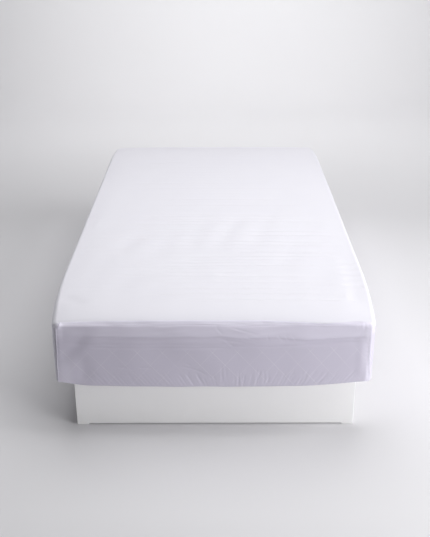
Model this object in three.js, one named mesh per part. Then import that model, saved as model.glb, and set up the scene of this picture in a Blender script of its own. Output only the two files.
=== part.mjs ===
// A waterproof mattress protector, fitted on a single mattress that lies on a low boxed base.
//
// Millimetres, +Z up. The origin is on the floor below the middle of the bed. The foot of the bed
// is towards -Y, the head towards +Y, and the long sides are at -X and +X.
//
// The protector is sewn from five pieces: a top panel, and four skirts that meet it in a seam just
// inside the top edge. Each skirt goes over the edge, down the wall and under the bottom edge,
// where its elastic hem ends, and the skirts meet each other in upright seams at the corners.
import * as THREE from "three";
import { mergeVertices } from "three/addons/utils/BufferGeometryUtils.js";

// ---- Driving dimensions ----------------------------------------------------------------------

const BED = { width: 990, length: 1910, thickness: 215 }; // over the fitted protector
const BASE = { width: 872, length: 1760, height: 182, board: 18 };
const CLOTH = 1.5; // the knit with its waterproof backing
const GAP = 0.3; // between neighbouring pieces

const TOP_EDGE = 13; // radius of the edge round the top
const BOTTOM_EDGE = 8; // radius of the edge round the bottom
const CORNER = 36; // radius of the upright corners, seen from above
const EASING = 4.3; // the mattress is rounder by this, so that the cloth clears its edges by 2
const SEAM_INSET = 16; // from the outline in to the seam round the top panel
const TUCK = 34; // width of the hem that is turned under the mattress
const HEM_CORNER = 40; // the elastic draws the hem round the corners in this radius

// How the mattress has settled. Each figure is a distance, and each reach is how far it fades over.
const FOOT_BOW = { by: 13, reach: 400 }; // the middle of the foot stands out past its corners
const FOOT_DRAW = { by: 24, wall: 0.72, reach: 380 }; // the sides draw in; the wall only in part
const HEAD_DRAW = { by: 9, reach: 220 }; // and a little at the head
const CORNER_SINK = { foot: 15, head: 4, reach: 300 }; // the top corners lie lower than the edges
const CROWN = 5; // the middle of the top stands above its edges

// The wall, from the raised top layer down to the quilted border. The creases lie above and below
// the tape that joins the two. Flute is the share of the hem's gathers that reaches each height.
const WALL = [
  { fold: "top layer", height: 186, inset: 0, flute: 0 },
  { fold: "under the top layer", height: 167, inset: 0.8, flute: 0 },
  { fold: "upper crease", height: 161, inset: 4, flute: 0 },
  { fold: "tape", height: 154, inset: 1.4, flute: 0 },
  { fold: "lower crease", height: 146, inset: 3.4, flute: 0 },
  { fold: "border, top", height: 137, inset: 1, flute: 0 },
  { fold: "border, middle", height: 76, inset: 0, flute: 0.1 },
  { fold: "border, foot", height: 40, inset: 0.2, flute: 0.6 },
];

// The larger gathers of the foot skirt: where they start and end across, and how far they stand.
const GATHERS = { from: -0.7, to: 0.76, rise: 2.2, unevenness: 0.45, turn: 2.4 };

const ARC_STEPS = 3; // steps round each quarter of an edge, and round each half corner
const ACROSS_STEPS = 14; // along the head and across the top panel
const FOOT_STEPS = 44; // along the foot skirt, which is gathered
const ALONG_STEPS = 14; // along the long sides
const FOOT_CROWDING = 1.7; // the steps along the sides lie closer together towards the foot

const RELIEF = { height: 4, land: 36 }; // cut from the lower edge of the foot and head boards
const EASED = 1.5; // the boards' edges are rounded by this

// ---- Frame of the soft parts ------------------------------------------------------------------

const TOP = BASE.height + BED.thickness;
const UNDERSIDE = BASE.height + GAP; // the mattress lies here
const LOWEST_CLOTH = UNDERSIDE - GAP - CLOTH;
const HALF_WIDTH = BED.width / 2;
const STANDS_OUT = FOOT_BOW.by + GATHERS.rise; // the foot's bow and the gathers on it
const HALF_LENGTH = (BED.length - STANDS_OUT) / 2; // before the foot bows out
const MIDDLE = STANDS_OUT / 2;
const MATTRESS_INSIDE = CLOTH + GAP; // from the protector's outer face in to the mattress
const RIGHT_ANGLE = Math.PI / 2;

const steps = (count) => Array.from({ length: count + 1 }, (_, k) => k / count);
const fade = (distance, reach) => Math.max(0, 1 - distance / reach) ** 2;

// Moves a point of the neat rounded block to where the settled mattress has it.
function settle(point) {
  const side = point.x / HALF_WIDTH;
  const end = (point.y - MIDDLE) / HALF_LENGTH;
  const fromFoot = HALF_LENGTH * (1 + end);
  const fromEnd = HALF_LENGTH * (1 - Math.abs(end));
  const height = THREE.MathUtils.clamp((point.z - UNDERSIDE) / (TOP - UNDERSIDE), 0, 1);
  const overEdge = THREE.MathUtils.clamp((point.z - TOP + TOP_EDGE) / TOP_EDGE, 0, 1);

  const drawShare = THREE.MathUtils.lerp(FOOT_DRAW.wall, 1, overEdge);
  const footDraw = FOOT_DRAW.by * drawShare * fade(fromFoot, FOOT_DRAW.reach);
  const draw = footDraw + HEAD_DRAW.by * fade(2 * HALF_LENGTH - fromFoot, HEAD_DRAW.reach);
  const bow = FOOT_BOW.by * (1 - side ** 2) * fade(fromFoot, FOOT_BOW.reach);
  const sinkBy = end < 0 ? CORNER_SINK.foot : CORNER_SINK.head;
  const sink = sinkBy * Math.abs(side) ** 3 * fade(fromEnd, CORNER_SINK.reach);
  const crown = CROWN * (1 - side ** 2) * (1 - end ** 2);

  point.x *= 1 - draw / HALF_WIDTH;
  point.y -= bow;
  point.z += crown * height - sink * height ** 2;
  return point;
}

// A station is a place along the edge of the bed: where its corner arc, or its straight stretch,
// is struck from (across and along, each -1 to 1), and the way that the edge faces there.
function stationPoint(station, ring) {
  const reach = ring.corner + (station.flute ?? 0) * (ring.flute ?? 0);
  const slip = station.slip ?? 0;
  const cos = Math.cos(station.facing);
  const sin = Math.sin(station.facing);
  const x = station.across * (HALF_WIDTH - ring.inset - ring.corner) + reach * cos - slip * sin;
  const y = station.along * (HALF_LENGTH - ring.inset - ring.corner) + reach * sin + slip * cos;
  return settle(new THREE.Vector3(x, MIDDLE + y, ring.z));
}

// The stations of one side, from the middle of one corner to the middle of the next, in the order
// that leads round the bed against the clock. Places are those of the straight stretch, -1 to 1.
function sideStations(facing, places) {
  const normal = new THREE.Vector2(Math.cos(facing), Math.sin(facing));
  const onward = new THREE.Vector2(-normal.y, normal.x);
  const at = (place, turned) => ({
    across: Math.round(normal.x) + place * Math.round(onward.x),
    along: Math.round(normal.y) + place * Math.round(onward.y),
    facing: facing + turned,
    place,
  });
  const turns = steps(ARC_STEPS).map((share) => (share * RIGHT_ANGLE) / 2);
  const into = turns.map((turn) => at(-1, turn - RIGHT_ANGLE / 2));
  const outOf = turns.map((turn) => at(1, turn));
  return [...into, ...places.slice(1, -1).map((place) => at(place, 0)), ...outOf];
}

const evenPlaces = (count) => steps(count).map((share) => 2 * share - 1);
const ALONG = steps(ALONG_STEPS).map((share) => 2 * share ** FOOT_CROWDING - 1); // foot to head
const SIDES = {
  foot: { facing: -RIGHT_ANGLE, places: evenPlaces(ACROSS_STEPS) },
  right: { facing: 0, places: ALONG },
  head: { facing: RIGHT_ANGLE, places: evenPlaces(ACROSS_STEPS) },
  left: { facing: 2 * RIGHT_ANGLE, places: ALONG.map((place) => -place).reverse() },
};

// ---- Sections ---------------------------------------------------------------------------------

// A quarter of a rounded edge, as rings from its upper end to its lower one. The centre is `inset`
// in from the outline and at height z, and the angles are measured up from the horizontal.
function edgeRings(inset, z, radius, from, to, corner, flute) {
  return steps(ARC_STEPS).map((share) => {
    const angle = THREE.MathUtils.lerp(from, to, share);
    const ringInset = inset - radius * Math.cos(angle);
    return { inset: ringInset, z: z + radius * Math.sin(angle), corner: corner - ringInset, flute };
  });
}

// The rings of a face that lies `inside` within the protector's outer face: over the top edge,
// down the wall and round the bottom edge. Easing makes its edges and corners rounder.
function wallRings(inside, easing) {
  const topRadius = TOP_EDGE - inside + easing;
  const bottomRadius = BOTTOM_EDGE - inside + easing;
  const corner = CORNER + easing;
  const topCentre = TOP - inside - topRadius;
  const bottomCentre = LOWEST_CLOTH + inside + bottomRadius;
  const wall = WALL.map(({ height, inset, flute }) => ({
    inset: inset + inside,
    z: UNDERSIDE + height,
    corner: corner - inset - inside,
    flute,
  }));
  return [
    ...edgeRings(inside + topRadius, topCentre, topRadius, RIGHT_ANGLE, 0, corner, 0),
    ...wall,
    ...edgeRings(inside + bottomRadius, bottomCentre, bottomRadius, 0, -RIGHT_ANGLE, corner, 1),
  ];
}

const seamRing = (inside, inset) => ({ inset, z: TOP - inside, corner: CORNER - inset });
const hemRing = (inside) => ({
  inset: TUCK,
  z: LOWEST_CLOTH + inside,
  corner: HEM_CORNER,
  flute: 1,
});

// ---- Meshes -----------------------------------------------------------------------------------

// One closed mesh from a list of four-cornered faces, each seen against the clock from outside.
function closedGeometry(faces) {
  const corners = faces.flatMap(([a, b, c, d]) => [a, b, c, a, c, d]);
  const geometry = mergeVertices(new THREE.BufferGeometry().setFromPoints(corners), 1e-3);
  geometry.computeVertexNormals();
  return geometry;
}

// The faces of a grid of points, which face the way that (next row) x (next column) points down.
function gridFaces(grid) {
  return grid.slice(1).flatMap((next, i) =>
    next.slice(1).map((corner, j) => [grid[i][j], grid[i][j + 1], corner, next[j]]),
  );
}

const turnedOver = (faces) => faces.map(([a, b, c, d]) => [a, d, c, b]);

// A sheet with an outer grid and an inner one of the same size, closed round its rim.
function sheetGeometry(outer, inner) {
  const last = outer.length - 1;
  const column = (grid, j) => grid.map((row) => row.at(j));
  const rims = [
    gridFaces([outer[0], inner[0]]),
    turnedOver(gridFaces([outer[last], inner[last]])),
    turnedOver(gridFaces([column(outer, 0), column(inner, 0)])),
    gridFaces([column(outer, -1), column(inner, -1)]),
  ];
  return closedGeometry([
    ...gridFaces(outer),
    ...turnedOver(gridFaces(inner)),
    ...rims.flatMap(turnedOver),
  ]);
}

// The grid of a level panel inside a ring: rows from foot to head, each from the left to the right.
// The rows nearest the ends follow the corner arcs.
function panelGrid(ring) {
  const arc = steps(2 * ARC_STEPS).map((share) => share * RIGHT_ANGLE);
  const footArc = arc.map((turn) => ({ along: -1, facing: turn - RIGHT_ANGLE }));
  const headArc = arc.map((turn) => ({ along: 1, facing: turn }));
  const straight = ALONG.slice(1, -1).map((along) => ({ along, facing: 0 }));
  return [...footArc, ...straight, ...headArc].map(({ along, facing }) =>
    evenPlaces(ACROSS_STEPS).map((share) => {
      const halfRow = HALF_WIDTH - ring.inset - ring.corner * (1 - Math.cos(facing));
      const y = along * (HALF_LENGTH - ring.inset - ring.corner) + ring.corner * Math.sin(facing);
      return settle(new THREE.Vector3(share * halfRow, MIDDLE + y, ring.z));
    }),
  );
}

// ---- The protector ----------------------------------------------------------------------------

const KNIT = { color: 0xf1f0f6, roughness: 0.72, metalness: 0 };

function piece(name, geometry, finish) {
  const mesh = new THREE.Mesh(geometry, new THREE.MeshStandardMaterial(finish));
  mesh.name = name;
  return mesh;
}

function topPanel() {
  const inset = SEAM_INSET + GAP;
  const upper = panelGrid(seamRing(0, inset));
  const lower = panelGrid(seamRing(CLOTH, inset));
  return piece("top_panel", sheetGeometry(upper, lower), KNIT);
}

// Half of the gap in each corner seam is taken from the end of each skirt.
function withSeamGap(stations) {
  stations[0].slip = GAP / 2;
  stations.at(-1).slip = -GAP / 2;
  return stations;
}

function skirt(name, stations) {
  const section = (inside) => [
    seamRing(inside, SEAM_INSET),
    ...wallRings(inside, 0),
    hemRing(inside),
  ];
  const face = (rings) => stations.map((station) => rings.map((ring) => stationPoint(station, ring)));
  return piece(name, sheetGeometry(face(section(0)), face(section(CLOTH))), KNIT);
}

// Every second station between the ends of the gathered stretch carries a gather.
function gathered(stations) {
  const inGathers = ({ place }) => place > GATHERS.from && place < GATHERS.to;
  const rise = (k) => GATHERS.rise * (1 - GATHERS.unevenness * Math.sin(GATHERS.turn * k) ** 2);
  return stations.map((station, k) => ({
    ...station,
    flute: k % 2 && inGathers(station) ? rise(k) : 0,
  }));
}

function skirts() {
  const plain = ({ facing, places }) => withSeamGap(sideStations(facing, places));
  const foot = sideStations(SIDES.foot.facing, evenPlaces(FOOT_STEPS));
  return [
    skirt("skirt_foot", gathered(withSeamGap(foot))),
    skirt("skirt_right", plain(SIDES.right)),
    skirt("skirt_head", plain(SIDES.head)),
    skirt("skirt_left", plain(SIDES.left)),
  ];
}

// ---- The mattress and its base ----------------------------------------------------------------

function mattress() {
  const rings = wallRings(MATTRESS_INSIDE, EASING);
  const round = Object.values(SIDES).flatMap(({ facing, places }) =>
    sideStations(facing, places).slice(0, -1),
  );
  const wall = [...round, round[0]].map((station) =>
    rings.map((ring) => stationPoint(station, { ...ring, flute: 0 })),
  );
  const faces = [
    ...gridFaces(wall),
    ...gridFaces(panelGrid(rings[0])),
    ...turnedOver(gridFaces(panelGrid(rings.at(-1)))),
  ];
  return piece("mattress", closedGeometry(faces), { color: 0xe6e4e6, roughness: 0.85, metalness: 0 });
}

// An upright or level board with eased edges, drawn as an outline and extruded to its thickness.
function boardGeometry(outline) {
  const geometry = new THREE.ExtrudeGeometry(new THREE.Shape(outline), {
    depth: BASE.board - 2 * EASED,
    bevelThickness: EASED,
    bevelSize: EASED,
    bevelOffset: -EASED,
    bevelSegments: 2,
  });
  geometry.translate(0, 0, EASED - BASE.board / 2);
  geometry.deleteAttribute("normal");
  geometry.deleteAttribute("uv");
  return mergeVertices(geometry, 1e-3);
}

function rectangle(width, height) {
  return [
    new THREE.Vector2(-width / 2, 0),
    new THREE.Vector2(width / 2, 0),
    new THREE.Vector2(width / 2, height),
    new THREE.Vector2(-width / 2, height),
  ];
}

// The outline of an end board: a rectangle with a long shallow relief in its lower edge.
function reliefOutline(width, height) {
  const relief = width / 2 - RELIEF.land;
  const [left, right, ...upper] = rectangle(width, height);
  return [
    left,
    new THREE.Vector2(-relief, 0),
    new THREE.Vector2(-relief, RELIEF.height),
    new THREE.Vector2(relief, RELIEF.height),
    new THREE.Vector2(relief, 0),
    right,
    ...upper,
  ];
}

function base() {
  const paint = { color: 0xe9e9e8, roughness: 0.45, metalness: 0 };
  const wallHeight = BASE.height - BASE.board - GAP;
  const endOutline = reliefOutline(BASE.width, wallHeight);
  const sideOutline = rectangle(BASE.length - 2 * (BASE.board + GAP), wallHeight);
  const board = (name, outline) => piece(name, boardGeometry(outline), paint);
  const upright = (name, outline) => {
    const made = board(name, outline);
    made.rotation.x = RIGHT_ANGLE;
    return made;
  };
  const parts = new THREE.Group();
  for (const [name, end] of [["base_foot_board", -1], ["base_head_board", 1]]) {
    const made = upright(name, endOutline);
    made.position.y = (end * (BASE.length - BASE.board)) / 2;
    parts.add(made);
  }
  for (const [name, side] of [["base_left_board", -1], ["base_right_board", 1]]) {
    const standing = new THREE.Group();
    standing.rotation.z = RIGHT_ANGLE;
    standing.position.x = (side * (BASE.width - BASE.board)) / 2;
    standing.add(upright(name, sideOutline));
    parts.add(standing);
  }
  const deck = board("base_deck", rectangle(BASE.width, BASE.length));
  deck.position.set(0, -BASE.length / 2, BASE.height - BASE.board / 2);
  parts.add(deck);
  return parts;
}

const bed = new THREE.Group();
bed.add(topPanel(), ...skirts(), mattress(), base());

export default bed;
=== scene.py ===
# %% [markdown]
# # A waterproof mattress protector on a single bed
# The protector is a fitted cover: one smooth top panel, and four skirts sewn to its edge,
# which elastic in the hem pulls in under the mattress. It lies on a plain mattress and a low
# boxed base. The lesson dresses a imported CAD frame, so it starts by loading that frame.
# Lengths are in metres. Sizes that are easier to read in millimetres are multiplied by MM.

import math
from collections import namedtuple

import bpy
import numpy as np
from mathutils import Matrix, Vector


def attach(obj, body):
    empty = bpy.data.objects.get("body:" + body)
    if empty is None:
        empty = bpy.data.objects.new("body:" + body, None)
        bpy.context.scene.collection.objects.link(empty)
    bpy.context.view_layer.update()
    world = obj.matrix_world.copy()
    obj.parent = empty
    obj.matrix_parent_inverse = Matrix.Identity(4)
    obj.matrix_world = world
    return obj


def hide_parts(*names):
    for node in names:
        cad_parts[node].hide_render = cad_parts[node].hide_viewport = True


MM = 0.001
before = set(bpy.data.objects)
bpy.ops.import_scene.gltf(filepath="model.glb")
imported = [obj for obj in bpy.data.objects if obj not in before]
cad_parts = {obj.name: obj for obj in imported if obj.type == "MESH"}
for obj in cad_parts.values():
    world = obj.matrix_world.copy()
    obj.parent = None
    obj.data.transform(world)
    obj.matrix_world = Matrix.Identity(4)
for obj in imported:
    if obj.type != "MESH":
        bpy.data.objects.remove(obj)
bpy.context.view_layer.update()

# %% [markdown]
# ## The camera
# The camera comes first, because every later choice is looked at through it. It stands at the
# foot of the bed at about eye height and looks down a little, as someone who stands there does.
# A matrix is used in place of three angles, so that the order of the turns is plain: turn
# left or right, tip down, then roll.

# %% Camera
CAMERA_AT, LENS, SENSOR = Vector((0.009, -3.106, 1.509)), 55.9, 36
TURN, TIP, ROLL = 0.18, 23.57, -0.22
camera = bpy.data.objects.new("camera", bpy.data.cameras.new("camera"))
bpy.context.collection.objects.link(camera)
camera.data.lens, camera.data.sensor_width = LENS, SENSOR
pose = Matrix.Translation(CAMERA_AT)
for degrees, axis in ((TURN, "Z"), (90 - TIP, "X"), (ROLL, "Z")):
    pose = pose @ Matrix.Rotation(math.radians(degrees), 4, axis)
camera.matrix_world = pose
bpy.context.scene.camera = camera
print("camera", round((CAMERA_AT - Vector((0, 0, 0.2))).length, 2), "m from the bed")

# %% [markdown]
# ## The sizes of the bed
# These are the CAD's own sizes, but for the foot's corners, which are a little sharper here.
# The cover starts as a neat rounded block of the mattress's width, length and height, and all
# that is uneven is added to it later. A real pattern cutter works in the same order: first
# the block, then the ease.

# %% Sizes
BED_WIDTH, BED_LENGTH = 990 * MM, 1910 * MM
TOP, UNDERSIDE, HEM_LEVEL = 397 * MM, 182.3 * MM, 180.5 * MM
CLOTH, SEAM_GAP = 1.5 * MM, 0.3 * MM
FOOT_STANDS_OUT = 15.2 * MM
HALF_WIDTH, HALF_LENGTH = BED_WIDTH / 2, (BED_LENGTH - FOOT_STANDS_OUT) / 2
MIDDLE = FOOT_STANDS_OUT / 2
TOP_EDGE, BOTTOM_EDGE = 13 * MM, 4 * MM
CORNER, FOOT_CORNER, HEM_WIDENS = 36 * MM, 24 * MM, 4 * MM
SEAM_INSET, HEM_INSET = 16 * MM, 34 * MM
WALL_TOP, WALL_FOOT = TOP - TOP_EDGE, HEM_LEVEL + BOTTOM_EDGE
print("half width", HALF_WIDTH, "half length", round(HALF_LENGTH, 4))

# %% [markdown]
# ## Settling the neat block
# A used mattress isn't a box. Its foot bows out in the middle, its corners are drawn in by
# the tight cover and sink a little, and its top is crowned. One function moves any point of
# the neat block to its settled place, so every piece that is sent through it still fits its
# neighbours. Modelling each piece by hand would leave gaps along the seams.


# %% Settle
Ease = namedtuple("Ease", "by reach")
FOOT_DRAW, HEAD_DRAW = Ease(24 * MM, 0.38), Ease(9 * MM, 0.22)
LEFT_HEM_DRAW, RIGHT_HEM_DRAW = Ease(4 * MM, 0.3), Ease(2.5 * MM, 0.3)
FOOT_SINK, HEAD_SINK = Ease(15 * MM, 0.3), Ease(4 * MM, 0.3)
FOOT_BOW, FOOT_LIFT, FOOT_UNLEAN = Ease(13 * MM, 0.4), Ease(10 * MM, 0.12), Ease(1 * MM, 0.3)
LEAN, CROWN, HEAD_RISE = 4 * MM, 5 * MM, 4.8 * MM
WALL_SHARE, LEFT_LIFT_FROM, RIGHT_LIFT_FROM = 0.72, 0.78, 0.55


def smooth(x):
    """0 below 0 and 1 above 1, with the soft cubic step between them."""
    x = np.clip(x, 0, 1)
    return x * x * (3 - 2 * x)


def faded(ease, distance):
    """All of an ease at no distance, falling to 0 at its reach along a parabola."""
    return ease.by * np.clip(1 - distance / ease.reach, 0, 1) ** 2


def settle(x, y, z):
    """The settled place of a neat point.

    The width shrinks by the draws, most of all at the top edge and at the hem. The foot bows
    by one minus the square of how far out a point is. The top sinks by that distance cubed
    and rises by the crown, one minus its square each way, and evenly towards the head. The
    foot's lower edge lifts towards both corners, and everything leans a little to the left.
    """
    side, end = x / HALF_WIDTH, (y - MIDDLE) / HALF_LENGTH
    from_foot, from_head = HALF_LENGTH * (1 + end), HALF_LENGTH * (1 - end)
    height = np.clip((z - UNDERSIDE) / (TOP - UNDERSIDE), 0, 1)
    over_edge = np.clip((z - WALL_TOP) / TOP_EDGE, 0, 1)
    draw = faded(FOOT_DRAW, from_foot) * (WALL_SHARE + (0.19 - 0.09 * side) * over_edge)
    draw = draw + faded(HEAD_DRAW, from_head)
    draw = draw + faded(LEFT_HEM_DRAW, from_foot) * np.clip(-side, 0, 1) * (1 - height) ** 1.5
    draw = draw + faded(RIGHT_HEM_DRAW, from_foot) * np.clip(side, 0, 1) * (1 - height) ** 3
    sink = np.abs(side) ** 3 * (faded(FOOT_SINK, from_foot) + faded(HEAD_SINK, from_head))
    rise = HEAD_RISE * (1 + end) / 2 + CROWN * (1 - side**2) * (1 - end**2)
    lift_from = np.where(side > 0, RIGHT_LIFT_FROM, LEFT_LIFT_FROM)
    lift = faded(FOOT_LIFT, from_foot) * smooth((np.abs(side) - lift_from) / (1 - lift_from))
    settled_x = x * (1 - draw / HALF_WIDTH) - LEAN + faded(FOOT_UNLEAN, from_foot)
    settled_y = y - faded(FOOT_BOW, from_foot) * (1 - side**2)
    settled_z = z + rise * height + lift * (1 - height) ** 2 - sink * height**2
    return np.stack([settled_x, settled_y, settled_z], axis=-1)


middle_of_foot = settle(np.array(0.0), np.array(MIDDLE - HALF_LENGTH), np.array(0.3))
print("the middle of the foot stands at y =", round(float(middle_of_foot[1]), 4))

# %% [markdown]
# ## The section of a skirt
# Cut across, the edge of the bed is a short flat lap on the top, a quarter turn over the edge,
# a straight drop, a quarter turn under the mattress and a flat tuck that ends at the hem. It
# is kept as finely sampled arrays over the length along the cloth, and a sheet looks up where
# each of its rows lies. So the rows can be close where the form is fine, and a sheet can start
# further down where its seam does.


# %% Skirt section
Section = namedtuple("Section", "inset z tucked down")
DROP_START, FINE_ROWS_END, DROP_END = 16, 40, 222


def edge_section():
    """The section from the flat top to the hem, as arrays over its length.

    Each bend is a quarter circle, sampled evenly by angle. `down` is the length along the
    cloth from the seam of the foot, the running sum of the distances between samples, and
    `tucked` goes from 0 to 1 over the flat tuck under the bed.
    """
    over, under = np.linspace(math.pi / 2, 0, 80), np.linspace(0, -math.pi / 2, 40)
    lap = np.array([SEAM_INSET + 1 * MM, SEAM_INSET])
    tuck = np.linspace(BOTTOM_EDGE, HEM_INSET, 20)[1:]
    bends = TOP_EDGE * (1 - np.cos(over)), BOTTOM_EDGE * (1 - np.cos(under))
    bends_z = WALL_TOP + TOP_EDGE * np.sin(over), WALL_FOOT + BOTTOM_EDGE * np.sin(under)
    inset = np.concatenate([lap, *bends, tuck])
    z = np.concatenate([0 * lap + TOP, *bends_z, 0 * tuck + HEM_LEVEL])
    tucked = np.clip((inset - BOTTOM_EDGE) / (HEM_INSET - BOTTOM_EDGE), 0, 1) * (z < WALL_FOOT)
    down = np.concatenate([[0], np.cumsum(np.hypot(np.diff(inset), np.diff(z)))]) - 1 * MM
    return Section(inset, z, tucked, down)


def section_at(down):
    """The section's inset, height and tuck at lengths down the cloth."""
    return [np.interp(down, SECTION.down, column) for column in SECTION[:3]]


SECTION = edge_section()
LAP, TO_HEM = SEAM_INSET - TOP_EDGE, SECTION.down[-1]
fine, drop = np.arange(0, FINE_ROWS_END, 1.6), np.linspace(FINE_ROWS_END, DROP_END, 84)
ROWS = np.concatenate([fine, drop, np.linspace(DROP_END, TO_HEM / MM, 16)[1:]])
print("from the top to the hem is", round(TO_HEM * 1000), "mm of cloth")

# %% [markdown]
# ## Carrying the section round the bed
# The four skirts meet in the corners. A skirt is the section carried along part of a corner,
# a straight wall and part of a corner again. Both are arrays, so one line of numpy makes the
# whole sheet: rows go down the cloth and columns go round the bed. The top panel is pulled
# wide and a little short, so its seam lies on the top at both ends and just over the edge
# along the sides.


# %% Skirt sheet
# The sides of the bed are counted anticlockwise from above: 0 foot, 1 right, 2 head, 3 left.
# Each has a join at its start and at its end, in degrees round the corner.
Stations = namedtuple("Stations", "across along facing run corner")
Join = namedtuple("Join", "top low")
JOINS = [
    (Join(-22, -22), Join(18, 40)),
    (Join(-72, -50), Join(45, 45)),
    (Join(-45, -45), Join(45, 45)),
    (Join(-45, -45), Join(68, 68)),
]
CORNER_COLUMNS, LEFT_FOOT_SHARPER = 16, 12 * MM
END_SEAM_DOWN, SIDE_SEAM_LOWER = 0.2 * MM, 19 * MM


def seam_turn(join, drop):
    """How far round its corner an upright seam lies, at this share of the drop: it twists by
    a smooth step from its turn at the top to the one at the hem, over the lower half."""
    return np.radians(join.top + (join.low - join.top) * smooth(2 * drop - 1))


def crowded(count, crowd):
    """Numbers from -1 to 1: an even line plus a sine, which draws them towards both ends."""
    even = np.linspace(-1, 1, count)
    return even + crowd * np.sin(math.pi * even) / math.pi


def stations(side, columns, crowd_ends=0.0, drop=0.0):
    """The columns of one skirt.

    The corner of the neat block that a column belongs to is (across, along), which slides
    from -1 to 1 along the wall, and `facing` turns in each corner as far as the upright seam.
    `run` is the distance from the middle of the wall, `corner` is the corner's radius, and
    `crowd_ends` draws the wall's columns towards the corners.
    """
    wall_faces = (side - 1) * math.pi / 2
    slide = crowded(columns, crowd_ends)
    first, last = (seam_turn(join, drop) for join in JOINS[side])
    in_corner = np.linspace(0, 1, CORNER_COLUMNS)[1:]
    share = np.concatenate([0 * in_corner - 1, slide, 0 * in_corner + 1])
    turns = [first * in_corner[::-1], 0 * first + 0 * slide, last * in_corner]
    facing = wall_faces + np.concatenate(turns, axis=-1)
    across = math.cos(wall_faces) - share * math.sin(wall_faces)
    along = math.sin(wall_faces) + share * math.cos(wall_faces)
    corner = np.where(along < 0, FOOT_CORNER, CORNER)
    half_wall = (HALF_WIDTH if side % 2 == 0 else HALF_LENGTH) - corner
    run = half_wall * share + corner * (facing - wall_faces)
    return Stations(across, along, facing, run, corner)


def seam_down(facing):
    """How far down the section the edge seam lies: at its start along the foot and the head,
    and by a smooth step further, just over the edge, along the sides."""
    turn = np.degrees(np.arcsin(np.abs(np.cos(facing))))
    return END_SEAM_DOWN + SIDE_SEAM_LOWER * smooth((turn - 25) / 50)


def round_the_bed(places, inset, corner):
    """The neat x and y of columns at an inset: each corner's centre plus its radius in the
    direction that the column faces."""
    x = places.across * (HALF_WIDTH - inset - corner) + corner * np.cos(places.facing)
    y = places.along * (HALF_LENGTH - inset - corner) + corner * np.sin(places.facing)
    return x, MIDDLE + y


def sheet_points(places, down):
    """The settled sheet, at the inset and height that the section has at this length down
    the cloth. The left foot corner is pulled sharper towards the hem."""
    inset, z, tucked = section_at(down)
    left_foot = (places.across < 0) & (places.along < 0)
    sharper = LEFT_FOOT_SHARPER * left_foot * smooth((WALL_TOP - z) / (WALL_TOP - UNDERSIDE))
    corner = np.clip(places.corner - inset - sharper, 0.5 * MM, None)
    corner = corner * (1 - tucked) + (places.corner + HEM_WIDENS) * tucked
    return settle(*round_the_bed(places, inset, corner), z)


def unit(vectors):
    """Vectors of length one."""
    return vectors / np.linalg.norm(vectors, axis=-1, keepdims=True)


def outward_normals(points):
    """The unit normal of a grid: the cross product of its two numerical gradients."""
    return unit(np.cross(np.gradient(points, axis=0), np.gradient(points, axis=1)))


trial = sheet_points(stations(0, 60), np.linspace(0, TO_HEM, 40)[:, None])
print("foot skirt, neat:", trial.shape, "lowest", round(trial[..., 2].min(), 4))

# %% [markdown]
# ## Folds as soft lines
# A fold in stretched cloth is a line with a soft hollow along it, and often a ridge beside it.
# Each is one row of a table: where it starts and ends, how wide and deep it is, how strong the
# ridge beside it is, and how far its middle sags. A row with a depth below zero is a ridge.
# A brush in sculpt mode makes the same marks, but a table can be read, moved and repeated.


# %% Folds
FOLD_COLUMNS = "from_across from_up to_across to_up width depth ridge sag"
Fold = namedtuple("Fold", FOLD_COLUMNS, defaults=(0, 0))


def bell(x, width):
    """1 at x = 0, falling away on both sides in a bell curve of this width."""
    return np.exp(-((x / width) ** 2))


def folded(across, up, folds):
    """The depth of all the folds at points of a sheet, in the table's own unit, inwards.

    A point is measured along the fold and away from it. The line sags by a parabola, its
    section is a bell curve with a second, wider bell for the ridge on its lower side, and
    both fade over the last third of the fold at each end.
    """
    depth = np.zeros(np.broadcast(across, up).shape)
    for fold in folds:
        dx, dy = fold.to_across - fold.from_across, fold.to_up - fold.from_up
        length = math.hypot(dx, dy)
        share = ((across - fold.from_across) * dx + (up - fold.from_up) * dy) / length**2
        off = ((up - fold.from_up) * dx - (across - fold.from_across) * dy) / length
        inside = np.clip(share, 0, 1)
        off = off + fold.sag * 4 * inside * (1 - inside)
        near = smooth(share / 0.33 + 0.35) * smooth((1 - share) / 0.33 + 0.35)
        beside = fold.ridge * bell(off + 1.7 * fold.width, 1.2 * fold.width)
        depth = depth + fold.depth * near * (bell(off, fold.width) - beside)
    return depth


print("a fold of depth 2 is", folded(np.array(0.0), np.array(0.0), [Fold(-9, 0, 9, 0, 3, 2)]))

# %% [markdown]
# ## Sheets of cloth
# A grid of points becomes a mesh of four-sided faces. The mesh also gets what its materials
# need: a UV map in metres, in which a knit keeps its size however the sheet bends. Cloth has
# a thickness, so a Solidify modifier adds the inner face and closes the rim. It works inwards
# from the outer face, because that is the face that was measured.


# %% Grid to cloth
def add_mesh(name, points, faces):
    """A mesh object at the origin from arrays of points and of four-sided faces."""
    mesh = bpy.data.meshes.new(name)
    points = points.reshape(-1, 3)
    mesh.vertices.add(len(points))
    mesh.vertices.foreach_set("co", points.astype(np.float32).ravel())
    mesh.loops.add(faces.size)
    mesh.loops.foreach_set("vertex_index", faces.astype(np.int32).ravel())
    mesh.polygons.add(len(faces))
    mesh.polygons.foreach_set("loop_start", np.arange(0, faces.size, 4, dtype=np.int32))
    mesh.polygons.foreach_set("use_smooth", np.ones(len(faces), bool))
    mesh.update(calc_edges=True)
    piece = bpy.data.objects.new(name, mesh)
    bpy.context.collection.objects.link(piece)
    return piece


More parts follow.
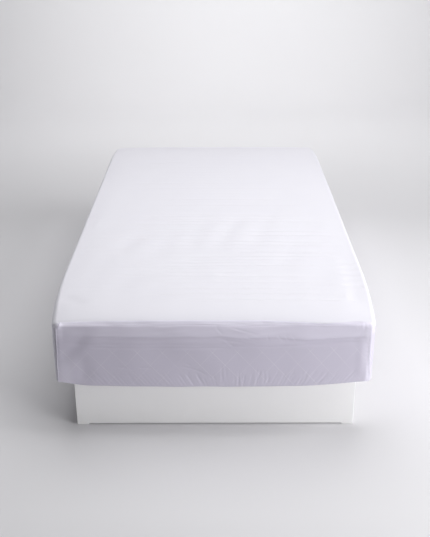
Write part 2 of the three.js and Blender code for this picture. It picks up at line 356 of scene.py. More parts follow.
def grid_faces(rows, columns, closed=False):
    """The faces of a grid: each joins a point to the next one down and the next one along.
    In a closed grid the last column joins the first."""
    grid = np.arange(rows * columns).reshape(rows, columns)
    if closed:
        grid = np.hstack([grid, grid[:, :1]])
    corners = [grid[:-1, :-1], grid[1:, :-1], grid[1:, 1:], grid[:-1, 1:]]
    return np.stack(corners, axis=-1).reshape(-1, 4)


def add_uv(piece, name, u, v):
    """A UV map from one pair of numbers for each point."""
    mesh = piece.data
    corners = np.zeros(len(mesh.loops), np.int32)
    mesh.loops.foreach_get("vertex_index", corners)
    pairs = np.stack([np.ravel(u), np.ravel(v)], axis=-1)[corners]
    mesh.uv_layers.new(name=name).data.foreach_set("uv", pairs.astype(np.float32).ravel())


def add_value(piece, name, value):
    """A number for each point, which a material reads by name."""
    made = piece.data.attributes.new(name, "FLOAT", "POINT")
    made.data.foreach_set("value", np.ravel(value).astype(np.float32))


def add_cloth(name, points, uv):
    """A closed cloth sheet from a grid of points on its outer face, and its UV in metres."""
    piece = add_mesh(name, points, grid_faces(*points.shape[:2]))
    add_uv(piece, "cloth", *uv)
    inner = piece.modifiers.new("cloth thickness", "SOLIDIFY")
    inner.thickness, inner.offset, inner.use_even_offset = CLOTH, -1, False
    return piece


print("a foot skirt has", len(grid_faces(len(ROWS), 430)), "faces before its thickness")

# %% [markdown]
# ## What lies under the foot skirt
# The mattress below has a top layer, a taped joint and a quilted border, and the tight cloth
# follows them: a flat slanted lip at the top layer's edge, a band that still leans back a
# little, two creases, one on each side of the tape, and a thin line where the border starts.
# Each wanders up and down across the bed. So each is a short table of places from left to
# right, in millimetres, and a smooth step carries the value from one place to the next. The
# seam itself has slipped over the edge towards the right, and one more table says how far.


# %% Bands of the foot
Lip = namedtuple("Lip", "across drop flat lean pale")
Line = namedtuple("Line", "across up width depth")
Slip = namedtuple("Slip", "across more")
BAND_DROP, SOFT_EDGE = 47.0, 1.2
# The pale column is how much painted light the lip gets: it is painted lighter because it faces
# up into the light.
FOOT_LIP = [
    Lip(-470, 5, 0.6, 2.0, 0.65),
    Lip(-400, 8, 0.8, 4.0, 0.6),
    Lip(-345, 8.5, 1.0, 4.6, 0.5),
    Lip(-290, 12.7, 1.0, 4.8, 0.4),
    Lip(-218, 16.0, 1.0, 5.0, 0.5),
    Lip(-178, 15.0, 1.0, 5.0, 0.5),
    Lip(-146, 16.6, 1.0, 5.0, 0.5),
    Lip(-105, 14.6, 1.0, 5.2, 0.45),
    Lip(-42, 14.2, 1.0, 5.4, 0.45),
    Lip(5, 15.4, 1.0, 5.6, 0.5),
    Lip(74, 20.0, 1.0, 5.8, 0.55),
    Lip(140, 17.0, 1.0, 6.0, 0.6),
    Lip(220, 14.8, 0.8, 6.4, 0.6),
    Lip(278, 11.5, 0.4, 6.0, 0.5),
    Lip(365, 9, 0.1, 4.0, 0.4),
    Lip(440, 6, 0.0, 1.0, 0.4),
]
FOOT_SLIP = [
    Slip(135, 0),
    Slip(195, 4.5),
    Slip(245, 7.0),
    Slip(285, 9.5),
    Slip(335, 12.5),
    Slip(385, 8.0),
    Slip(440, 0),
]
UPPER_CREASE = [
    Line(-440, 160, 4.0, 0.2),
    Line(-380, 162, 4.0, 1.2),
    Line(-300, 163, 4.4, 2.0),
    Line(-190, 162, 4.4, 1.8),
    Line(-83, 165, 4.4, 1.8),
    Line(-31, 162, 4.4, 1.4),
    Line(16, 165, 4.0, 1.5),
    Line(78, 159, 5.0, 1.0),
    Line(165, 161, 5.0, 1.6),
    Line(239, 154, 6.0, 3.0),
    Line(268, 151, 6.0, 3.4),
    Line(341, 154, 6.0, 3.2),
    Line(405, 157, 5.0, 2.2),
    Line(432, 158, 5.0, 0.4),
    Line(460, 157, 5.0, 0.0),
]
LOWER_CREASE = [
    Line(-440, 139, 3.6, 0.0),
    Line(-393, 140, 4.0, 1.1),
    Line(-280, 142, 4.0, 1.7),
    Line(-200, 141, 4.0, 1.4),
    Line(-116, 143, 4.0, 1.7),
    Line(-66, 140, 4.0, 1.2),
    Line(-22, 141, 4.0, 1.4),
    Line(40, 142, 4.0, 0.7),
    Line(80, 142, 4.0, 0.0),
]
BORDER_LINE = [
    Line(-380, 131, 2.4, 0.0),
    Line(-340, 131, 2.4, 1.0),
    Line(-57, 132, 2.4, 1.1),
    Line(31, 132, 2.4, 1.1),
    Line(60, 136, 2.6, 0.9),
    Line(122, 137, 2.6, 0.9),
    Line(169, 135, 2.6, 0.8),
    Line(245, 138, 2.8, 1.0),
    Line(292, 141, 3.0, 1.2),
    Line(366, 146, 3.2, 1.4),
    Line(409, 146, 3.2, 1.2),
    Line(440, 148, 3.2, 0.0),
]


def wander(x, table, column):
    """The value of a table's column at x: a smooth cubic step from each place to the next."""
    places = np.array([row.across for row in table], float)
    values = np.array([getattr(row, column) for row in table], float)
    i = np.clip(np.searchsorted(places, x) - 1, 0, len(places) - 2)
    share = smooth((x - places[i]) / (places[i + 1] - places[i]))
    return values[i] + (values[i + 1] - values[i]) * share


def foot_slip(x):
    """How much further over the edge the foot's seam has slipped, at a neat x in metres."""
    return wander(x / MM, FOOT_SLIP, "more") * MM


def slant(inset, drop, tilt, high, low):
    """How far a point of the section lies outside the slanted plane through two other points,
    measured along the section's own normal. Points are (inset, drop) pairs."""
    inwards, downwards = high[0] - low[0], low[1] - high[1]
    outside = (high[0] - inset) * downwards - (drop - high[1]) * inwards
    return outside / (downwards * np.sin(tilt) + inwards * np.cos(tilt))


def lip_depth(across, down, from_seam, table):
    """How far in the lip and the band lie from the plain round edge, in millimetres.

    The lip is the plane from the seam to the lip's lower edge and the band the plane from
    there to the wall. The cloth lies inside both, so the depth is the larger of the two, with
    a soft corner where they are equal.
    """
    inset, z, _ = section_at(down * MM)
    here = inset / MM, (TOP - z) / MM
    tilt = np.clip((down - LAP / MM) / (TOP_EDGE / MM), 0, math.pi / 2)
    edge = (wander(across, table, "lean"), wander(across, table, "drop"))
    lip = np.clip(slant(*here, tilt, (SEAM_INSET / MM, 0.0), edge), -60, 60)
    band = np.clip(slant(*here, tilt, edge, (0.0, BAND_DROP)), -60, 60)
    both = np.exp(wander(across, table, "flat") * lip / SOFT_EDGE) + np.exp(band / SOFT_EDGE)
    return SOFT_EDGE * np.log(1 + both) * smooth(from_seam / 8)


def line_depth(across, up, table):
    """The depth of a long wandering line: a bell curve about its height, twice as wide below
    it, because the cloth turns in sharply and comes out again slowly."""
    off = (up - wander(across, table, "up")) / wander(across, table, "width")
    return wander(across, table, "depth") * bell(np.where(off > 0, off, off / 2), 1)


print("the lip drops", wander(np.array([-400.0, 0, 400]), FOOT_LIP, "drop").round(1), "mm")

# %% [markdown]
# ## The folds of the foot
# Short folds cross the bands. Some are pulls from the seam, some are where the tape turns,
# and near the hem the elastic gathers the cloth into fans that lean towards the middle.
# Folds that someone would point at are rows of a table. The many small ones beside them come
# from a seeded random generator, which gives the same folds on every run.

# %% Folds of the foot
FOOT_FOLDS = [
    # pulls under the lip
    Fold(44, 197, 128, 174, 2.8, 0.7, 0.5),
    Fold(7, 211, 7, 192, 2.6, 0.6),
    Fold(7, 193, 24, 176, 3.0, 0.5, 0.5),
    Fold(-150, 182, -74, 182, 5.0, -0.45),
    # where the tape turns, right of the middle
    Fold(10, 163, 82, 150, 3.3, 0.6, 0.4, 2),
    Fold(84, 156, 127, 148, 3.3, 0.6, 0.4, -2),
    Fold(90, 170, 132, 155, 3.3, 0.65, 0.4, 2),
    Fold(30, 158, 56, 136, 3.3, 0.5, 0.4),
    Fold(154, 172, 159, 153, 2.9, 0.45, 0.4),
    Fold(184, 171, 203, 152, 2.9, 0.5, 0.4),
    Fold(207, 171, 220, 152, 2.9, 0.45, 0.4),
    Fold(228, 171, 241, 151, 2.9, 0.4, 0.4),
    Fold(403, 152, 441, 163, 3.3, 0.6, 0.4, 2),
    # dents along the lip
    Fold(-405, 204, -380, 204, 2.2, 0.48),
    Fold(-195, 207, -168, 207, 2.2, 0.48),
    Fold(-110, 209, -60, 206, 2.2, 0.54),
    Fold(-62, 206, -12, 208, 2.2, 0.54),
    Fold(176, 212.4, 228, 211.6, 2.0, 1.3),
    Fold(258, 210.4, 302, 209.6, 2.2, 1.3),
    # broad hollows near the corners
    Fold(-458, 76, -370, 190, 22.0, 1.5, 0.3),
    Fold(-398, 100, -388, 10, 23.0, 1.5, 0.3),
    Fold(434, 150, 434, 24, 13.0, -1.2),
    # small creases in the middle of the drop
    Fold(-286, 63, -262, 64, 2.9, 0.44, 0.3),
    Fold(-226, 64, -189, 64, 2.9, 0.55, 0.3),
    Fold(-98, 68, -26, 41, 2.4, 0.6, 0.0, -5),
    Fold(-85, 78, -71, 73, 2.4, 0.5, 0.3),
    # gathers at the hem, strong ones first
    Fold(-84, 40, -62, 4, 2.8, 0.5, 0.4),
    Fold(-52, 37, -29, 2, 2.8, 0.4, 0.4),
    Fold(21, 76, 21, 0, 2.7, 0.31, 0.15),
    Fold(33, 72, 32, 0, 2.7, 0.28, 0.15),
    Fold(72, 54, 72, 0, 2.5, 0.34, 0.15),
    Fold(80, 52, 83, 0, 2.5, 0.31, 0.15),
    Fold(126, 62, 126, 0, 2.7, 0.31, 0.15),
    Fold(134, 52, 132, 0, 2.5, 0.24, 0.15),
    Fold(147, 56, 148, 0, 2.7, 0.34, 0.15),
    Fold(160, 52, 160, 0, 2.5, 0.24, 0.15),
    Fold(241, 40, 213, 0, 3.1, 0.48, 0.4),
    Fold(265, 42, 249, 0, 3.1, 0.52, 0.4),
    Fold(276, 38, 256, 0, 3.1, 0.48, 0.4),
    Fold(320, 20, 300, 0, 3.1, 0.39, 0.4),
    # puckers in the right corner, and the dark dot at its foot
    Fold(421, 206, 421, 189, 2.4, 0.7, 0.3),
    Fold(428, 206, 427, 191, 2.4, 0.7, 0.3),
    Fold(441, 207, 440, 187, 3.4, 0.9, 0.3),
    Fold(453, 206, 452, 192, 2.4, 0.7, 0.3),
    Fold(455, 14, 459, 11, 3.4, 4.0),
]


def fan_of_gathers(from_across, to_across, apart, middle, seed, deepest=0.6):
    """Small gathers along a hem: evenly apart but for a random share, each leaning towards the
    middle by a slope that levels off, and each with its own height and depth."""
    random = np.random.default_rng(seed)
    foot = np.arange(from_across, to_across, apart)
    foot = foot + random.uniform(-0.35, 0.35, len(foot)) * apart
    height = random.uniform(24, 56, len(foot))
    top = foot + 0.85 * np.tanh((foot - middle) / 160) * height
    depth = random.uniform(0.25, 1, len(foot)) * deepest
    width = random.uniform(2.0, 3.2, len(foot))
    gathers = zip(top, height, foot, 0 * foot - 2, width, depth)
    return [Fold(*gather, 0.3) for gather in gathers]


FOOT_FOLDS += fan_of_gathers(-330, -95, 12, 90, seed=3, deepest=0.38)
FOOT_FOLDS += fan_of_gathers(-95, 175, 15, 60, seed=4)
FOOT_FOLDS += fan_of_gathers(175, 395, 12, 90, seed=5)
print(len(FOOT_FOLDS), "folds on the foot skirt")

# %% [markdown]
# ## The other skirts
# The same mattress lies under all four skirts, so the sides and the head have the same lip,
# creases and line, calmer and more even, and gathers all along their hems. Their tables are
# made from a few numbers: the same wandering lines, with a random step up or down each time.


# %% Bands and folds of the sides and the head
def even_line(half, up, width, depth, seed, step=110):
    """A wandering line like the foot's, from end to end, that fades out near both."""
    random = np.random.default_rng(seed)
    across = np.arange(-half + 30, half - 30, step)
    strength = depth * np.clip((half - np.abs(across)) / 120 - 0.2, 0, 1)
    return [
        Line(a, up + random.uniform(-2, 2), width, s * random.uniform(0.6, 1.1))
        for a, s in zip(across, strength)
    ]


def even_lip(half, seed, step=75):
    """A lip like the foot's, uneven and less flat."""
    random = np.random.default_rng(seed)
    across = np.arange(-half, half + step, step)
    return [Lip(a, random.uniform(24, 30), random.uniform(0.1, 0.3), 1.0, 0.25) for a in across]


def calm_folds(half, seed):
    """Gathers in two fans, one towards each end, and a few long pulls under the lip."""
    random = np.random.default_rng(seed)
    folds = fan_of_gathers(-half + 50, 0, 23, -half / 2, seed + 1)
    folds += fan_of_gathers(0, half - 50, 23, half / 2, seed + 2)
    for start in np.arange(-half + 90, half - 140, 190):
        start = start + random.uniform(-50, 50)
        reach = random.uniform(50, 110) * random.choice([-1, 1])
        top = random.uniform(176, 194)
        folds.append(Fold(start, top, start + reach, top - 16, 3.6, 1.1, 0.6, 1))
    return folds


Bands = namedtuple("Bands", "lip upper lower border folds")
BANDS = [Bands(FOOT_LIP, UPPER_CREASE, LOWER_CREASE, BORDER_LINE, FOOT_FOLDS)]
for side, half in ((1, 975), (2, 487), (3, 975)):
    upper = even_line(half, 165, 3.8, 2.2, 20 + side)
    lower = even_line(half, 147, 3.6, 1.7, 30 + side)
    border = even_line(half, 135, 2.6, 0.8, 40 + side)
    lip, folds = even_lip(half, 10 + side), calm_folds(half, 50 + 3 * side)
    BANDS.append(Bands(lip, upper, lower, border, folds))
print([len(bands.folds) for bands in BANDS], "folds on the four skirts")

# %% [markdown]
# ## The four skirts
# Now the neat sheets get their relief. Every point moves along its own normal, outwards for a
# ridge and inwards for a hollow. The relief fades towards the upright seams, so that two
# skirts still meet there, and the seam gets a shape of its own: a fine roll where the cloth is
# turned in. At the left foot corner the side skirt sags in behind the foot skirt's edge, which
# leaves the dark upright slit that a loose corner has.

# %% Skirts
SKIRT_NAMES = ["foot_skirt", "right_skirt", "head_skirt", "left_skirt"]
SKIRT_NODES = ["skirt_foot", "skirt_right", "skirt_head", "skirt_left"]
SKIRT_COLUMNS = [366, 330, 200, 330]
SLIT_DEPTH, LUMP_HEIGHT, KNOT_DEPTH = 2.8, 1.9, 2.2


def raised(points, relief):
    """The points moved outwards along their normals by a relief in millimetres."""
    return points + outward_normals(points) * (relief * MM)[..., None]


def soft_waves(across, up, size, seed):
    """A gentle unevenness, mostly between -1 and 1: a third of the sum of seven sine waves,
    each with its own random direction, start and length."""
    random = np.random.default_rng(seed)
    waves = np.zeros(np.broadcast(across, up).shape)
    for _ in range(7):
        way, start = random.uniform(0, math.pi), random.uniform(0, 2 * math.pi)
        turn = 2 * math.pi / (size * random.uniform(0.7, 1.6))
        waves += np.sin(turn * (across * math.cos(way) + up * math.sin(way)) + start)
    return waves / 3


def seam_relief(from_left, from_right, up, seam_row, side):
    """The upright seams: a fine roll 3 mm wide along each edge with a row of small puckers
    beside it, and the slit behind the left foot corner, all in millimetres."""
    relief = np.zeros(from_left.shape)
    puckers = 0.4 * (0.5 + 0.5 * np.sin(up * 2 * math.pi / 13 + 2 * np.sin(up / 31)))
    for distance in (from_left, from_right):
        relief += (0.7 * bell(distance - 1.2, 1.6) - puckers * bell(distance - 7, 4)) * seam_row
    if side == 3:
        wide = 1.0 + 1.6 * np.sin(math.pi * np.clip(up / 200, 0, 1))
        slit = smooth((up - 4) / 30) * smooth((wide + 2.5 - from_right) / 2.5)
        relief -= SLIT_DEPTH * slit * seam_row
    if side == 0:
        reach = smooth((up - 2) / 30) * smooth((200 - up) / 30)
        relief += 0.3 * reach * bell(from_left - 0.8, 1.8)
        relief += LUMP_HEIGHT * bell(from_left - 6, 6) * bell(up - 197, 7)
        relief -= KNOT_DEPTH * bell(from_left - 2, 3) * bell(up - 200, 4)
    return relief


def dressed_skirt(side):
    """One skirt with its relief: its points, and the places that its materials need."""
    drop = np.clip((ROWS[:, None] - DROP_START) / (DROP_END - DROP_START), 0, 1)
    places = stations(side, SKIRT_COLUMNS[side], 0.25 if side % 2 else 0.0, drop)
    start = seam_down(places.facing[:1]) + (foot_slip(places.run[:1]) if side == 0 else 0)
    down = start + (TO_HEM - start) * ROWS[:, None] / ROWS[-1]
    points = sheet_points(places, down)
    across = (points[..., 0] if side == 0 else places.run) / MM
    up, bands = (points[..., 2] - UNDERSIDE) / MM, BANDS[side]
    down, from_seam = down / MM, (down - start) / MM
    from_left = (places.run - places.run[:, :1]) / MM
    from_right = (places.run[:, -1:] - places.run) / MM
    from_end = np.minimum(from_left, from_right)
    relief = -folded(across, up, bands.folds) * smooth(from_seam / 5)
    relief -= lip_depth(across, down, from_seam, bands.lip)
    for line in (bands.upper, bands.lower, bands.border):
        relief -= line_depth(across, up, line)
    relief += 0.5 * soft_waves(across, up, 150, 70 + side) * smooth(down / 30)
    relief += 0.3 * soft_waves(across, 5 * up, 100, 80 + side) * smooth((up - 130) / 30)
    relief *= smooth(from_end / 24)
    ruffle = 1.1 * np.sin(across * 2 * math.pi / 25 + 1.5 * np.sin(across / 37))
    relief += ruffle * smooth((down - TO_HEM / MM + 30) / 20) * smooth(from_end / 40)
    seam_row = smooth((from_seam - 4) / 12) * smooth((up + 1) / 12)
    relief += seam_relief(from_left, from_right, up, seam_row, side)
    relief += 0.5 * bell(from_seam - 1.6, 1.3)
    return raised(points, relief), across, up, down, from_left, from_right


skirts, skirt_grids = [], []
for side, name in enumerate(SKIRT_NAMES):
    skirt_grids.append(dressed_skirt(side))
    points, across, up, down, *_ = skirt_grids[side]
    skirts.append(add_cloth(name, points, (across * MM, down * MM)))
    faces, lowest = len(skirts[side].data.polygons), points[..., 2].min()
    print(name, faces, "faces, lowest", round(lowest, 4))

# %% [markdown]
# ## The quilting that shows through
# The mattress's border is quilted in diamonds, and their fine ridges show through the tight
# cloth as thin pale lines. They are narrower than the mesh is fine, so they aren't modelled:
# a second UV map counts diamonds across and up, and the material draws a line wherever the
# sum or the difference of the two counts is a whole number. A value on each point says how
# strongly the lines show, because they fade under the tape and in the gathers.

# %% Quilting counts
DIAMOND_WIDTH, DIAMOND_HEIGHT = 74, 84


def quilting(across, up):
    """The counts of diamonds across and up, in a lattice that tilts and closes up a little
    towards the right, and how much of it shows: all of it between the tape and the hem."""
    closing = 17 * np.clip(across / 430, 0, 1.2) ** 2
    counts = (across + closing + 6) / DIAMOND_WIDTH, (up - 116 - 0.009 * across) / DIAMOND_HEIGHT
    shows = smooth((132 - up + 0.016 * np.clip(across, 0, 500)) / 16) * smooth((up - 3) / 10)
    patchy = 0.75 + 0.35 * soft_waves(across, up, 170, 90)
    return counts, shows * np.clip(patchy, 0.25, 1)


for skirt, (_, across, up, *_) in zip(skirts, skirt_grids):
    counts, shows = quilting(across, up)
    add_uv(skirt, "quilting", *counts)
    add_value(skirt, "quilting_shows", shows)
print("a diamond is", DIAMOND_WIDTH, "by", DIAMOND_HEIGHT, "mm")

# %% [markdown]
# ## Painted light on the skirts
# The skirts are painted lighter, as painted light: a little on the band above the upper crease,
# more on the lip, which faces up, and just under the seam, and in strips beside the upright seams
# and at the left end of the foot. A value on each point says how much painted light the cloth
# gets, and flat streaks break it up.

# %% Painted light on the skirts
# Painted light: how much lighter the band above the upper crease is painted.
BAND_PAINTED_LIGHT = 0.30


def skirt_painted_light(side, across, up, down, from_left, from_right):
    """The painted light of a skirt: soft steps that paint the band above the upper crease lighter
    and the lip lighter still, and soft strips under the seam and along the upright seams."""
    lip, upper = BANDS[side].lip, BANDS[side].upper
    drop = (TOP - section_at(down * MM)[1]) / MM
    painted_light = smooth((wander(across, lip, "drop") - drop) / 4 + 0.5)
    streaks = 0.13 * soft_waves(across, 9 * up, 90, 95 + side)
    softness = 6 + 18 * smooth((-330 - across) / 80)
    # Painted light: the band above the upper crease is lighter, with a softer step at the left
    # end, and the lip is lighter still.
    white = BAND_PAINTED_LIGHT * smooth(0.5 + (up - wander(across, upper, "up") - 5) / softness)
    white += painted_light * (wander(across, lip, "pale") - BAND_PAINTED_LIGHT + streaks)
    # Painted light just under the seam, less towards the right, and in a strip beside the
    # right-hand upright seam.
    white += 0.5 * smooth((12 - (down - down[:1])) / 6) * (1 - 0.7 * smooth((across - 250) / 80))
    white += 0.5 * smooth((28 - from_right) / 24) * (1 - white)
    # Painted light at the left end of the foot, and on the other skirts a strip beside the
    # left-hand upright seam.
    if side == 0:
        return white + 0.36 * smooth((62 - from_left) / 30) * smooth((100 - up) / 50)
    return white + 0.22 * smooth((28 - from_left) / 24) * (1 - white)


# Each skirt carries its painted light as a value on each point.
for side, (_, *places) in enumerate(skirt_grids):
    add_value(skirts[side], "painted_light", np.clip(skirt_painted_light(side, *places), 0, 1))
# The painted light on the lip at three places across the foot.
print("the lip's painted light is", wander(np.array([-400.0, 0, 400]), FOOT_LIP, "pale").round(2))

# %% [markdown]
# ## The top panel
# The top is one smooth, tight panel. Its grid has straight rows from side to side, and both ends
# of each row go on over the edge to the seam. The tension is across the bed, so most of its marks
# are faint ripples from side to side. Broad waves lean to the right across them, and there are a
# few short ridges and creases, and small scallops at the right edge where the skirt pulls. The
# panel is painted a little greyer over the foot's edge and towards its side edges, as painted
# shade where it turns away from the light, so a value on each point says how much painted shade
# it gets.

# %% Top panel
TOP_FOLDS = [
    # ripples across the bed
    Fold(-430, -44, -60, -46, 7, 0.7, 0.4),
    Fold(-330, -150, 20, -152, 7, 0.7, 0.4),
    Fold(40, -136, 440, -140, 7, 0.9, 0.4),
    Fold(-300, -226, 430, -230, 8, 0.9, 0.4, 2),
    Fold(60, -262, 440, -270, 8, 0.9, 0.4),
    Fold(-420, -300, 60, -306, 7, 0.7, 0.4, 2),
    Fold(-120, -326, 460, -332, 8, 1.1, 0.4, 2),
    Fold(60, -430, 460, -436, 9, 0.9, 0.4),
    Fold(-250, -542, 200, -548, 9, 0.9, 0.4, 2),
    Fold(-200, -622, 340, -630, 9, 0.9, 0.4, 2),
    Fold(-380, -700, -120, -696, 10, 0.7, 0.4),
    Fold(180, -760, 430, -770, 10, 0.7, 0.4),
    # scallops at the right edge
    Fold(405, -470, 472, -474, 8, 1.2, 0.5),
    Fold(415, -518, 478, -522, 8, 1.8, 0.5),
    Fold(412, -560, 480, -566, 9, 2.0, 0.5),
    Fold(410, -606, 478, -612, 9, 2.1, 0.5),
    Fold(416, -650, 474, -656, 9, 1.5, 0.5),
    Fold(410, -698, 474, -706, 10, 1.9, 0.5),
    Fold(452, -440, 434, -860, 22, 1.3),
    Fold(403, -800, 412, -750, 11, -0.9),
    # broad waves that lean to the right
    Fold(-95, -420, -20, -70, 26, 1.25, 0.8),
    Fold(10, -430, 85, -110, 24, 1.15, 0.8),
    Fold(-210, -470, -150, -240, 26, 1.15, 0.8),
    Fold(-330, -450, -280, -260, 24, 1.0, 0.8),
    Fold(150, -330, 215, -60, 24, 1.0, 0.8),
    Fold(-330, -700, -120, -560, 30, 0.9, 0.6),
    Fold(255, -80, 300, 30, 16, -0.9, 0.6),
    # short ridges along the bed
    Fold(-335, -530, -332, -452, 12, -1.2),
    Fold(152, -470, 156, -376, 12, -1.12),
    Fold(1, -706, 1, -584, 12, -1.2),
    Fold(-447, -190, -445, -100, 12, -1.0),
    # creases towards the head
    Fold(-297, 657, -156, 686, 12, 1.76, 0.7, 5),
    Fold(-366, 364, -144, 362, 6, -1.0),
    Fold(94, 772, 136, 772, 7, 1.2, 0.4),
    Fold(292, 467, 358, 466, 6, 1.2, 0.4),
    Fold(268, 382, 325, 382, 7, 1.2, 0.4),
    # the foot edge
    Fold(-70, -926, 130, -926, 2.4, 1.12),
    Fold(-470, -770, -398, -832, 26, 1.92),
]


def fine_ripples(seed):
    """Thin ripples that run across the bed, close together over the foot half and few towards
    the head: each has its own start, length, slope, width and depth."""
    random = np.random.default_rng(seed)
    along = np.concatenate([np.arange(-800, -40, 26), np.arange(60, 800, 75)])
    count = len(along)
    along = along + random.uniform(-9, 9, count)
    start, reach = random.uniform(-470, -130, count), random.uniform(340, 900, count)
    end = np.minimum(start + reach, 462)
    tilt, width = random.uniform(-8, 8, count), random.uniform(6, 9, count)
    depth = random.uniform(0.6, 1.6, count) * np.where(along < 0, 1.0, 0.6)
    ripples = zip(start, along, end, along + tilt, width, depth)
    return [Fold(*ripple, 0.5, 1) for ripple in ripples]


TOP_FOLDS += fine_ripples(seed=8)
TOP_COLUMNS, TOP_ROWS, TURN_ROWS, OVER_COLUMNS = 95, 400, 12, 8
SLIP_FADES_OVER = 60 * MM


def turned_ends():
    """The facing of each row's right end, and where that end's quarter circle lies.

    Rows are straight from side to side. Most end where the side is straight. The first and
    the last few follow the quarter circle of a corner of the seam's line.
    """
    set_in = SEAM_INSET + SEAM_GAP
    half_x, half_y = HALF_WIDTH - set_in, HALF_LENGTH - set_in
    foot, head = FOOT_CORNER - set_in, CORNER - set_in
    share = (crowded(TOP_ROWS, 0.25) + 1) / 2
    straight = foot - half_y + (2 * half_y - foot - head) * share
    turn = np.linspace(-math.pi / 2, 0, TURN_ROWS)[:-1]
    facing = np.concatenate([turn, 0 * straight, -turn[::-1]])
    radius = np.concatenate([0 * turn + foot, 0 * straight, 0 * turn + head])
    centre = np.concatenate([0 * turn + straight[0], straight, 0 * turn + straight[-1]])
    ends_at = half_x - np.where(centre < 0, foot, head) * (radius > 0)
    return facing, ends_at + radius * np.cos(facing), centre + radius * np.sin(facing), half_y


def top_points():
    """The neat panel with the strips that it sends over the two side edges.

    The flat part crowds its columns at the edges, and its rows near the foot slide over the
    edge as far as the seam has slipped. The strips carry on from each row's ends, down the
    section of the edge as far as the seam.
    """
    facing, half, y, half_y = turned_ends()
    facing, half, y, to_seam = (a[:, None] for a in (facing, half, y, seam_down(facing)))
    x = crowded(TOP_COLUMNS, 0.55) * half
    from_foot = HALF_LENGTH + y + 0 * x
    slid = foot_slip(x) * smooth(1 - (from_foot - SEAM_INSET) / SLIP_FADES_OVER)
    down = SEAM_INSET + slid - from_foot
    inset, z, _ = section_at(down)
    inset = np.where(down > 0, inset, from_foot - slid)
    flat = settle(x, MIDDLE - HALF_LENGTH + inset, z)
    down = to_seam * np.linspace(0, 1, OVER_COLUMNS + 1)[1:] - SEAM_GAP
    inset, z, _ = section_at(down)
    further = SEAM_INSET + SEAM_GAP - inset
    over_x, over_y = half + further * np.cos(facing), y + further * np.sin(facing)
    right, left = (settle(way * over_x, MIDDLE + over_y, z) for way in (1, -1))
    points = np.concatenate([left[:, ::-1], flat, right], axis=1)
    strip = to_seam - SEAM_GAP - down
    from_sides = [strip[:, ::-1], half - np.abs(x) + to_seam, strip]
    from_edge = np.minimum(np.concatenate(from_sides, axis=1), half_y - np.abs(y))
    return points[::-1], from_edge[::-1] / MM


points, from_edge = top_points()
across, along = points[..., 0] / MM, points[..., 1] / MM
from_foot = along - along.min()
relief = 2.4 * (1 - bell(from_edge, 60))
relief += 3.5 * (np.exp(-from_foot / 90) - np.exp(-from_foot / 22)) * smooth(from_edge / 10)
relief -= folded(across, along, TOP_FOLDS) * smooth(from_edge / 10)
relief += 0.5 * soft_waves(across, along, 420, 12) * smooth(from_edge / 90)
relief += 0.45 * soft_waves(across, 0.45 * along, 95, 14) * smooth(from_edge / 90)
pucker = 0.5 + 0.5 * np.sin((across + along) * 2 * math.pi / 15 + 2 * np.sin(across / 41))
relief += 0.4 * bell(from_edge - 1.2, 1.2) - 0.25 * pucker * bell(from_edge - 5, 4)
points = raised(points, relief)
top_sheet = add_cloth("top_sheet", points, (across * MM, along * MM))
# Painted shade: a value that greys the panel over the foot's edge, and a little along every edge.
add_value(top_sheet, "painted_edge_shade", np.exp(-from_foot / 26) + 0.3 * np.exp(-from_edge / 40))
print("top panel", len(top_sheet.data.polygons), "faces, highest", round(points[..., 2].max(), 4))

# %% [markdown]
# ## Seams
# The panels are joined by an overlocked seam, finished with one row of small stitches. A
# stitch is a short rod with pointed ends, and a few hundred thousand faces would go into a
# seam if each were modelled finely, so a stitch has only fourteen. All the stitches of one
# seam are one mesh: the same small rod is placed along the seam by one array sum.

# %% Stitches
STITCH_LONG, STITCH_THICK, STITCH_STEP = 2.6 * MM, 0.38 * MM, 4.2 * MM
STITCH_PROUD = 0.15 * MM


def spaced_along(line, normal, step):
    """Points every step along a line, with the direction and the normal there."""
    lengths = np.concatenate([[0], np.cumsum(np.linalg.norm(np.diff(line, axis=0), axis=1))])
    at = np.arange(step, lengths[-1] - step, step)

    def between(values, where):
        return np.stack([np.interp(where, lengths, column) for column in values.T], axis=-1)

    place = between(line, at)
    return place, unit(between(line, at + step / 4) - place), unit(between(normal, at))


def stitches(name, lines):
    """Rods along lines: four rings of four points, thin at the ends, in each stitch's frame."""
    ring = np.array([[0, 1], [1, 0], [0, -1], [-1, 0]], float) * STITCH_THICK
    along = np.array([-0.5, -0.3, 0.3, 0.5]) * STITCH_LONG
    rod = np.array([[a, *(f * p)] for a, f in zip(along, [0.25, 1, 1, 0.25]) for p in ring])
    ends = np.array([[3, 2, 1, 0], [12, 13, 14, 15]])
    faces = np.concatenate([grid_faces(4, 4, closed=True)[:, [0, 3, 2, 1]], ends])
    spaced = (spaced_along(line, normal, STITCH_STEP) for line, normal in lines)
    places, aheads, outs = (np.concatenate(parts) for parts in zip(*spaced))
    frames = np.stack([aheads, np.cross(aheads, outs), outs], axis=1)
    points = places[:, None, :] + np.einsum("vk,skd->svd", rod, frames)
    shift = len(rod) * np.arange(len(places))[:, None, None]
    piece = add_mesh(name, points, (faces[None] + shift).reshape(-1, 4))
    print(name, len(places), "stitches")
    return piece


edge_lines, upright_lines = [], []
row, below, above = (int(np.argmin(np.abs(ROWS - length))) for length in (4.6, 10, 205))
for points, *_ in skirt_grids:
    normals = outward_normals(points)
    lift = points + normals * STITCH_PROUD
    edge_lines.append((lift[row, 3:-3], normals[row, 3:-3]))
    for column in (2, -3):
        upright_lines.append((lift[below:above, column], normals[below:above, column]))
edge_stitches = stitches("edge_stitches", edge_lines)
corner_stitches = stitches("corner_stitches", upright_lines)

# %% [markdown]
# ## The mattress
# Only a strip of the mattress shows, from below, between the hem and the base. It is still
# modelled as the closed pad that it is: rings of the same rounded outline, set in under the
# cloth, run from a line in the middle of the underside round the edge to a line in the middle
# of the top.

# %% Mattress
PAD_INSET, PAD_TOP, PAD_LOW_EDGE, PAD_TOP_EDGE = 9 * MM, TOP - 4 * MM, 12 * MM, 16 * MM


